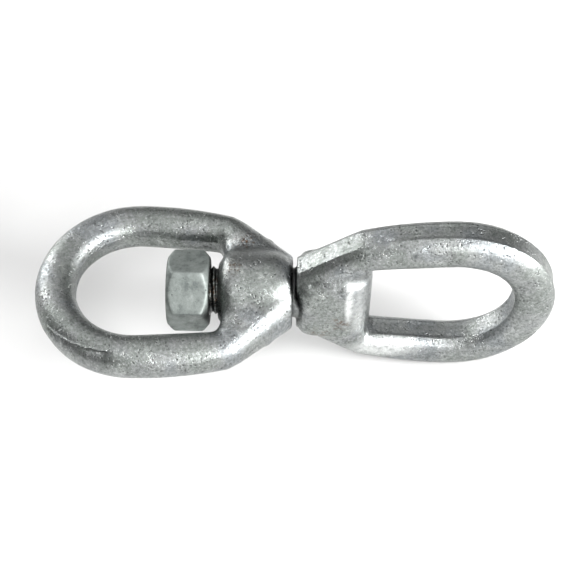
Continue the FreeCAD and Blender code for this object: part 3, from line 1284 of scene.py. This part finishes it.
    def build(self) -> bpy.types.Object:
        """Builds the eye bolt's mesh.

        Returns:
            The finished eye bolt.
        """
        parts = [self.line.bar()] + self.neck() + self.shank()
        skin = forged_together(parts, self.grain)
        forged = [point for point in skin.verts if point.co.x > JOINT_FACE - 0.05]
        smooth(skin, forged, 1)
        fill_hollows(skin, self.fill_rounds, self.near_neck)
        blends = [point for point in skin.verts if self.near_neck(point.co)]
        smooth(skin, blends, self.blend_passes)
        HammeredSkin(offset=Vector((4, 60, 17))).work(skin, self.skin_depth)
        return finished_piece("eye_bolt_forging", skin, Matrix.Rotation(math.pi / 2, 4, "X"))

    def skin_depth(self, place: Vector) -> float:
        """The depth of the trimmed flats and of the nicks.

        Args:
            place: A place in the piece's own frame.

        Returns:
            The depth in millimetres.
        """
        if place.x < JOINT_FACE + 1.0:
            return 0.0
        outside = TrimmedBand(
            self.line, outside=True, half_width=self.outer_flat, hollow=self.outer_hollow)
        inside = TrimmedBand(
            self.line, outside=False, half_width=self.inner_flat, hollow=self.inner_hollow)
        inner = inside.depth(place) if place.x > self.neck_wall + 1.0 else 0.0
        return self.nicks(place) + outside.depth(place) + inner

    def dress(self, piece: bpy.types.Object) -> None:
        """Gives the eye bolt its finish and its place.

        Args:
            piece: The finished eye bolt.
        """
        finish = GalvanisedForging(
            name="hot-dip galvanised forged steel, eye bolt", stains=self.stains, painted_highlights=self.painted_highlights,
        ).material()
        settle(piece, Rider.EYE, "eye_bolt", finish)


@dataclass
class HexNut:
    """The heavy hexagon nut that holds the bow on the shank."""

    across_flats: float = 22.6
    outer_face: float = -40.0
    inner_face: float = -26.6
    chamfer_radius: float = 10.5
    chamfer_height: float = 2.2
    bore_radius: float = 7.1
    countersink: float = 1.2
    turn: float = 42.0
    edge_passes: int = 7
    grain: float = 0.3

    def blank(self) -> bmesh.types.BMesh:
        """The hexagon bar, turned to where the nut stopped when it was tightened.

        Returns:
            The hexagon, with sharp corners.
        """
        shape = bmesh.new()
        corner = self.across_flats / 2 / math.cos(math.pi / 6)
        made = bmesh.ops.create_circle(shape, cap_ends=True, radius=corner, segments=6)
        bmesh.ops.rotate(shape, cent=(0, 0, 0), matrix=Matrix.Rotation(math.pi / 2, 3, "Y"),
                         verts=made["verts"])
        bmesh.ops.translate(shape, vec=(self.outer_face, 0, 0), verts=made["verts"])
        grown = bmesh.ops.extrude_face_region(shape, geom=shape.faces[:])["geom"]
        points = [part for part in grown if isinstance(part, bmesh.types.BMVert)]
        bmesh.ops.translate(shape, vec=(self.inner_face - self.outer_face, 0, 0), verts=points)
        bmesh.ops.rotate(
            shape, cent=(0, 0, 0), verts=shape.verts,
            matrix=Matrix.Rotation(math.radians(self.turn), 3, "X"))
        return shape

    def envelope(self) -> bmesh.types.BMesh:
        """The turned envelope that chamfers the hexagon's corners at both faces.

        Returns:
            The envelope, which the hexagon is cut down to.
        """
        corner = self.across_flats / math.sqrt(3)
        spread = 2.0
        wide = self.chamfer_radius + (corner - self.chamfer_radius) * spread
        rise = self.chamfer_height * spread
        return turned([
            (self.outer_face, 0), (self.outer_face, self.chamfer_radius),
            (self.outer_face + rise, wide), (self.inner_face - rise, wide),
            (self.inner_face, self.chamfer_radius), (self.inner_face, 0),
        ], steps=120)

    def tap(self) -> bmesh.types.BMesh:
        """The tool that opens the nut's bore and countersinks it.

        Returns:
            The tool's shape.
        """
        wide = self.bore_radius + self.countersink
        start, end = self.outer_face - OVERRUN, self.inner_face + OVERRUN
        return turned([
            (start, 0), (start, wide + OVERRUN), (self.outer_face, wide),
            (self.outer_face + self.countersink, self.bore_radius),
            (self.inner_face - self.countersink, self.bore_radius), (self.inner_face, wide),
            (end, wide + OVERRUN), (end, 0),
        ])

    def build(self) -> bpy.types.Object:
        """Builds the nut's mesh.

        Returns:
            The finished nut.
        """
        chamfered = machined(self.blank(), self.envelope(), Cut.COMMON)
        tapped = machined(chamfered, self.tap(), Cut.AWAY)
        skin = forged_together([tapped], self.grain)
        smooth(skin, skin.verts[:], self.edge_passes)
        HammeredSkin(wave=0.03, wave_size=6.0, ripple=0.03, ripple_size=2.0).work(skin, plain)
        return finished_piece("hex_nut_machined", skin, Matrix.Identity(4))

    def dress(self, piece: bpy.types.Object) -> None:
        """Gives the nut its finish and its place."""
        settle(piece, Rider.EYE, "hex_nut", GalvanisedNut().material())


# ---------------------------------------------------------------- the studio


@dataclass(frozen=True)
class Softbox:
    """A rectangular studio light, with places in metres."""

    name: str
    place: tuple[float, float, float]
    size: tuple[float, float]
    power: float


@dataclass(frozen=True)
class Studio:
    """A pale floor, soft lights and the camera."""

    elevation: float = 53.3
    roll: float = 1.05
    distance: float = 0.4606
    lens: float = 90.0
    sensor: float = 36.0
    target: tuple[float, float, float] = (-0.00082, 0.0, 0.0001)
    floor_half: float = 15.0
    floor_patch: float = 400.0
    floor_tones: tuple[str, str] = ("#DCDCDB", "#E0E0E0")
    world: float = 0.17
    boxes: tuple[Softbox, ...] = (
        Softbox("overhead", (0.0, 0.35, 1.5), (1.5, 1.5), 10.0),
        Softbox("right_low", (0.95, -0.30, 0.40), (0.45, 0.36), 20.0),
        Softbox("right_front", (0.50, -0.78, 0.36), (0.34, 0.26), 9.0),
        Softbox("left_back", (-0.8, 0.65, 0.32), (0.45, 0.3), 7.0),
        Softbox("front_top", (-0.1, -0.55, 1.0), (0.5, 0.25), 3.5),
    )

    def floor(self) -> None:
        """The plain pale floor, at the object's lowest point."""
        shape = bmesh.new()
        bmesh.ops.create_grid(shape, x_segments=1, y_segments=1, size=self.floor_half)
        bmesh.ops.translate(shape, vec=(0, 0, CAD_BOX[0].z), verts=shape.verts)
        ground = bench_object("studio_floor", shape)
        paint = Recipe("matt white studio paint")
        coat = paint.blended(
            paint.blotches(self.floor_patch, detail=1.0), *(linear(tone) for tone in self.floor_tones))
        paint.tree.links.new(coat, paint.shader.inputs["Base Color"])
        paint.shader.inputs["Roughness"].default_value = 0.9
        ground.data.materials.append(paint.material)

    def lights(self) -> None:
        """The softboxes and the room's own soft light."""
        for box in self.boxes:
            lamp = bpy.data.lights.new(box.name, "AREA")
            lamp.shape = "RECTANGLE"
            lamp.size, lamp.size_y = box.size
            lamp.energy = box.power
            stand = bpy.data.objects.new(box.name, lamp)
            stand.matrix_world = self.aimed(Vector(box.place), Vector((0, 0, 0)), 0.0)
            bpy.context.scene.collection.objects.link(stand)
        room = bpy.data.worlds.new("studio room")
        room.use_nodes = True
        back = room.node_tree.nodes["Background"]
        back.inputs["Color"].default_value = (self.world, self.world, self.world, 1.0)
        bpy.context.scene.world = room

    def aimed(self, place: Vector, target: Vector, roll: float) -> Matrix:
        """A camera's or light's matrix at a place, looking at a target, rolled by degrees."""
        turn = (target - place).to_track_quat("-Z", "Y").to_matrix().to_4x4()
        return Matrix.Translation(place) @ turn @ Matrix.Rotation(math.radians(roll), 4, "Z")

    def camera(self) -> None:
        """The camera, above the object's front."""
        lens = bpy.data.cameras.new("camera")
        lens.lens = self.lens
        lens.sensor_width = self.sensor
        lens.clip_start = 0.01
        rig = bpy.data.objects.new("camera", lens)
        rise = math.radians(self.elevation)
        target = Vector(self.target)
        place = target + Vector((0, -math.cos(rise), math.sin(rise))) * self.distance
        rig.matrix_world = self.aimed(place, target, self.roll)
        bpy.context.scene.collection.objects.link(rig)
        bpy.context.scene.camera = rig

    def set_up(self) -> None:
        """Sets up the whole studio."""
        self.floor()
        self.lights()
        self.camera()
        bpy.context.scene.view_settings.view_transform = "Standard"


def main() -> None:
    """Builds, dresses and logs every piece, then sets up the studio."""
    logging.basicConfig(level=logging.INFO, format="%(name)s: %(message)s")
    bow_line = RingLine(
        section=BarSection(6.45, 6.6, 6.5, 6.75, fullness=0.95), reach=81.8, opening_half=19.3,
        arm_radius=110.0, shoulder=17.9, face_half=11.5, wall=22.8, wall_half=17.0,
        slope_width=12.4, slope_swell=0.35,
    )
    eye_line = RingLine(
        section=BarSection(6.45, 6.6, 7.0, 7.29, fullness=0.9), reach=81.8, opening_half=19.3,
        arm_radius=85.0, shoulder=17.5, face_half=13.5, wall=23.0, wall_half=16.3,
        slope_width=12.6, slope_swell=0.0,
    )
    for maker in (SwivelBow(bow_line), EyeBolt(eye_line), HexNut()):
        maker.dress(maker.build())
    Studio().set_up()


if __name__ == "__main__":
    main()
